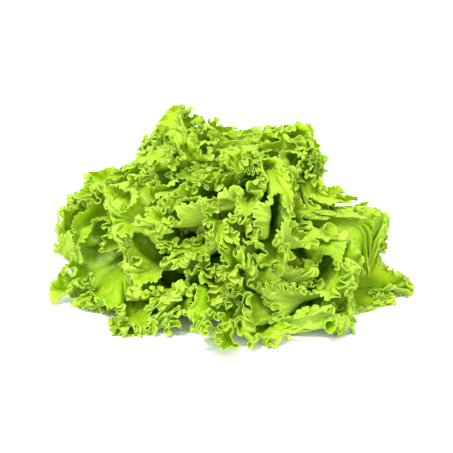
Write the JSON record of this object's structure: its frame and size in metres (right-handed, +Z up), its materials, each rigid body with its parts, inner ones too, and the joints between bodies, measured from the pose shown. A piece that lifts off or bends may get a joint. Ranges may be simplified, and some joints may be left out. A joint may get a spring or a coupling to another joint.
{
  "type": "leaf lettuce",
  "caption": "Loose head of frilled leaf lettuce lying on its side, with a short cut stem at the back.",
  "frame": {"origin": "centre of the base of the head's box, on the surface it lies on", "axes": "+Z up, +X along the head's widest direction, -Y towards the viewer and the leaf tips, +Y towards the cut stem"},
  "size_m": [0.3232, 0.2226, 0.1587],
  "materials": {
    "stem": "pale, matte, moist",
    "leaf": "satin, slightly see-through"
  },
  "bodies": {
    "root": {"stem": "stem", "leaf_01": "leaf", "leaf_02": "leaf", "leaf_03": "leaf", "leaf_04": "leaf", "leaf_05": "leaf", "leaf_06": "leaf", "leaf_07": "leaf", "leaf_08": "leaf", "leaf_09": "leaf", "leaf_10": "leaf", "leaf_11": "leaf", "leaf_12": "leaf", "leaf_13": "leaf", "leaf_14": "leaf", "leaf_15": "leaf", "leaf_16": "leaf", "leaf_17": "leaf", "leaf_18": "leaf", "leaf_19": "leaf", "leaf_20": "leaf", "leaf_21": "leaf", "leaf_22": "leaf", "leaf_23": "leaf", "leaf_24": "leaf", "leaf_25": "leaf", "leaf_26": "leaf"}
  },
  "joints": []
}
